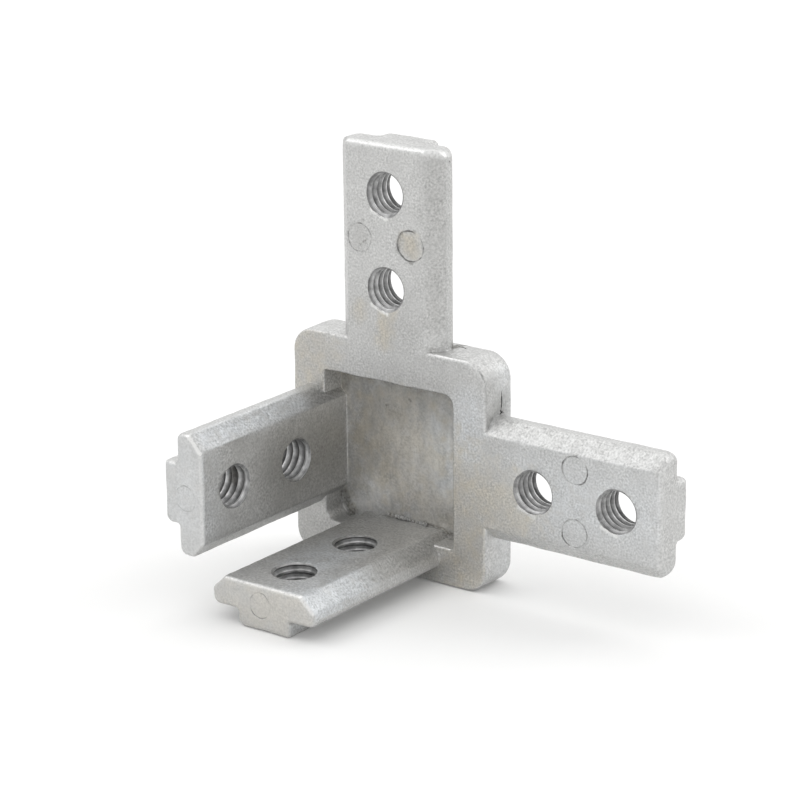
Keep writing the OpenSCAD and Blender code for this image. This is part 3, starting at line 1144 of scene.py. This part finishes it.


# Blasted zinc: grainy grey metal with painted sparkle on slopes, warm where it is stained, paler and cooler
# in patches that are partly painted light, darker in painted shade and where smudged, bright on rubbed edges
# and painted highlights, machined in the threads with a painted highlight on crests and painted shade on
# flanks, and dark with dirt in cracks and with dirt and painted shade in thread roots
def blastedZinc():
    material, tree = newMaterial("blastedZinc")
    coordinates = addNode(tree, "ShaderNodeTexCoord").outputs
    place = coordinates["Object"]
    normal = coordinates["Normal"]
    grain = noiseAt(tree, place, finish["grainScale"], 1)
    mottle = noiseAt(tree, place, finish["mottleScale"])
    patch = noiseAt(tree, place, finish["patchScale"], 4)

    mottleTone = ranged(tree, mottle, *noiseSpan, 1 - finish["mottleTone"], 1 + finish["mottleTone"])
    tone = product(tree, skinTone(tree, place, grain, normal), mottleTone)
    colour = tinted(tree, 1, finish["colour"], tone)

    stained = strokeShare(tree, place, normal, stains, patch)
    stained = product(tree, stained, ranged(tree, mottle, *patchSpan, *finish["stainShare"]))
    colour = tinted(tree, stained, colour, finish["stainFactor"])
    # paler and cooler colour: part tint, part painted light
    coolAndLit = strokeShare(tree, place, normal, coolTintsAndPaintedLight, patch)
    coolAndLit = product(tree, coolAndLit, ranged(tree, patch, *patchSpan, *finish["coolShare"]))
    colour = tinted(tree, coolAndLit, colour, finish["coolFactor"])
    # painted shade: darkens the colour evenly where shade falls
    paintedShadeShare = strokeShare(tree, place, normal, paintedShades)
    colour = tinted(tree, paintedShadeShare, colour, finish["smudgeFactor"])
    # dirt smudges, and painted shade in the pocket's corners and under its top edge
    smudgedAndShaded = strokeShare(tree, place, normal, smudgesAndShade, patch)
    smudgedAndShaded = product(tree, smudgedAndShaded, ranged(tree, grain, *patchSpan, *finish["smudgeShare"]))
    colour = tinted(tree, smudgedAndShaded, colour, finish["smudgeFactor"])
    # rubbed wear and painted highlights, in patches
    wornAndLit = ranged(tree, patch, *patchSpan, *finish["rubShare"])
    wornAndLit = product(tree, wornAndLit, ranged(tree, grain, 0.3, 0.6, *finish["rubShare"]))
    rubbedAndHighlit = product(tree, strokeShare(tree, place, normal, rubsAndHighlights, patch), wornAndLit)
    colour = layered(tree, rubbedAndHighlit, colour, finish["rubbedColour"])

    root = attributeOf(tree, "threadShade")
    machinedAndLit = threadColour(tree, place, root)
    machinedAndLit = tinted(tree, smudgedAndShaded, machinedAndLit, finish["smudgeFactor"])
    colour = layered(tree, attributeOf(tree, "tapped"), colour, machinedAndLit)
    colour = layered(tree, dirtAndShadeShare(tree, root, patch), colour, finish["dirtColour"])

    roughness = ranged(tree, patch, *noiseSpan, *finish["roughness"])
    smoother = product(tree, rubbedAndHighlit, finish["rubbedRoughness"])
    shader = addNode(tree, "ShaderNodeBsdfPrincipled", {
        "Base Color": colour,
        "Metallic": finish["metallic"],
        "Roughness": calculated(tree, "SUBTRACT", roughness, smoother),
        "Normal": skinNormal(tree, place, grain),
    })
    addNode(tree, "ShaderNodeOutputMaterial", {"Surface": shader.outputs["BSDF"]})
    return material


casting.data.materials.clear()
casting.data.materials.append(blastedZinc())
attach(casting, "root")
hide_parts("corner_connector")
print("casting:", len(casting.data.vertices), "points,", len(casting.data.polygons), "faces")

stage = {
    "halfWidth": 4000,
    "gridPoints": 9,  # along each side of the floor
    "floorColour": (0.97, 0.97, 0.965, 1),
    "floorGlow": 0.04,  # what the paper gains where it is seen
    "ambient": (0, 1.25),  # level at the horizon and straight above
    "lightColour": (1, 1, 1, 1),
}


# 1 where the camera, a reflection or a view through glass meets a surface, and 0 elsewhere
def seenShare(tree):
    path = addNode(tree, "ShaderNodeLightPath").outputs
    seen = calculated(tree, "MAXIMUM", path["Is Camera Ray"], path["Is Glossy Ray"])
    return calculated(tree, "MAXIMUM", seen, path["Is Transmission Ray"])


# Floor: a flat grid level with the lowest point of the casting, white paper that keeps the shadow
def makeFloor():
    count = stage["gridPoints"]
    span = np.linspace(-1, 1, count) * stage["halfWidth"]
    x, y = np.meshgrid(span, span, indexing="ij")
    points = np.stack([x, y, np.full_like(x, boxLow[2])], -1).reshape(-1, 3)
    index = np.arange(count ** 2).reshape(count, count)
    quads = np.stack([index[:-1, :-1], index[1:, :-1], index[1:, 1:], index[:-1, 1:]], -1).reshape(-1, 4)
    plane = meshObject("floor", (points, [quads]))
    material, tree = newMaterial("paperFloor")
    paper = addNode(tree, "ShaderNodeBsdfDiffuse", {"Color": stage["floorColour"]})
    gain = product(tree, seenShare(tree), stage["floorGlow"])
    glow = addNode(tree, "ShaderNodeEmission", {"Color": stage["lightColour"], "Strength": gain})
    both = addNode(tree, "ShaderNodeAddShader", {0: paper.outputs[0], 1: glow.outputs[0]})
    addNode(tree, "ShaderNodeOutputMaterial", {"Surface": both.outputs[0]})
    plane.data.materials.append(material)


# World: soft light that grows from the horizon to straight above, and plain white where the camera or
# a reflection sees it
def makeWorld():
    world = bpy.data.worlds.new("studio")
    world.use_nodes = True
    tree = world.node_tree
    tree.nodes.clear()
    height = parted(tree, addNode(tree, "ShaderNodeTexCoord").outputs["Object"])[2]
    level = ranged(tree, height, 0, 1, *stage["ambient"])
    light = addNode(tree, "ShaderNodeBackground", {"Color": stage["lightColour"], "Strength": level})
    white = addNode(tree, "ShaderNodeBackground", {"Color": stage["lightColour"], "Strength": 1})
    shaders = {0: seenShare(tree), 1: light.outputs[0], 2: white.outputs[0]}
    mix = addNode(tree, "ShaderNodeMixShader", shaders)
    addNode(tree, "ShaderNodeOutputWorld", {"Surface": mix.outputs[0]})
    bpy.context.scene.world = world


# places and sizes in metres, powers in watts
lamps = {
    "leftBox": {"place": (-0.52, -0.31, 0.67), "size": 0.6, "power": 1.3},
    "backBox": {"place": (-0.27, 0.45, 0.72), "size": 0.6, "power": 0.8},
    "rightBox": {"place": (0.5, 0.6, 0.55), "size": 0.6, "power": 1.3},
}


# Softbox: a square lamp that faces the casting
def makeLamp(name, settings):
    data = bpy.data.lights.new(name, "AREA")
    data.size = settings["size"]
    data.energy = settings["power"]
    lamp = bpy.data.objects.new(name, data)
    place = Vector(settings["place"])
    lamp.rotation_mode = "QUATERNION"
    lamp.rotation_quaternion = (-place).to_track_quat("-Z", "Y")
    lamp.location = place
    bpy.context.scene.collection.objects.link(lamp)


viewpoint = {
    "azimuth": 37.048,
    "elevation": 17.657,
    "roll": 0.59,
    "distance": 380.72,
    "right": -1.503,  # where the origin stands in the picture, off its middle
    "up": -7.377,
    "lens": 136.99,
    "sensor": 36,
    "clipStart": 10,
}


# Camera: right, up and back axes from azimuth and elevation, turned by the roll, and stood off
# so that the origin shows at its place
def makeCamera():
    azimuth, elevation, roll = np.radians([viewpoint[name] for name in ("azimuth", "elevation", "roll")])
    back = np.array([
        np.sin(azimuth) * np.cos(elevation),
        -np.cos(azimuth) * np.cos(elevation),
        np.sin(elevation),
    ])
    right = np.array([np.cos(azimuth), np.sin(azimuth), 0])
    up = np.cross(back, right)
    axes = np.array([
        np.cos(roll) * right - np.sin(roll) * up,
        np.sin(roll) * right + np.cos(roll) * up,
        back,
    ])
    offset = np.array([viewpoint["right"], viewpoint["up"], -viewpoint["distance"]]) * mm
    matrix = np.eye(4)
    matrix[:3, :3] = axes.T
    matrix[:3, 3] = -axes.T @ offset
    data = bpy.data.cameras.new("camera")
    data.lens = viewpoint["lens"]
    data.sensor_width = viewpoint["sensor"]
    data.clip_start = viewpoint["clipStart"] * mm
    camera = bpy.data.objects.new("camera", data)
    camera.matrix_world = Matrix(matrix.tolist())
    bpy.context.scene.collection.objects.link(camera)
    bpy.context.scene.camera = camera


makeFloor()
makeWorld()
for name, settings in lamps.items():
    makeLamp(name, settings)
makeCamera()
bpy.context.scene.view_settings.view_transform = "Standard"
print("stage: floor, world,", len(lamps), "lamps and camera")
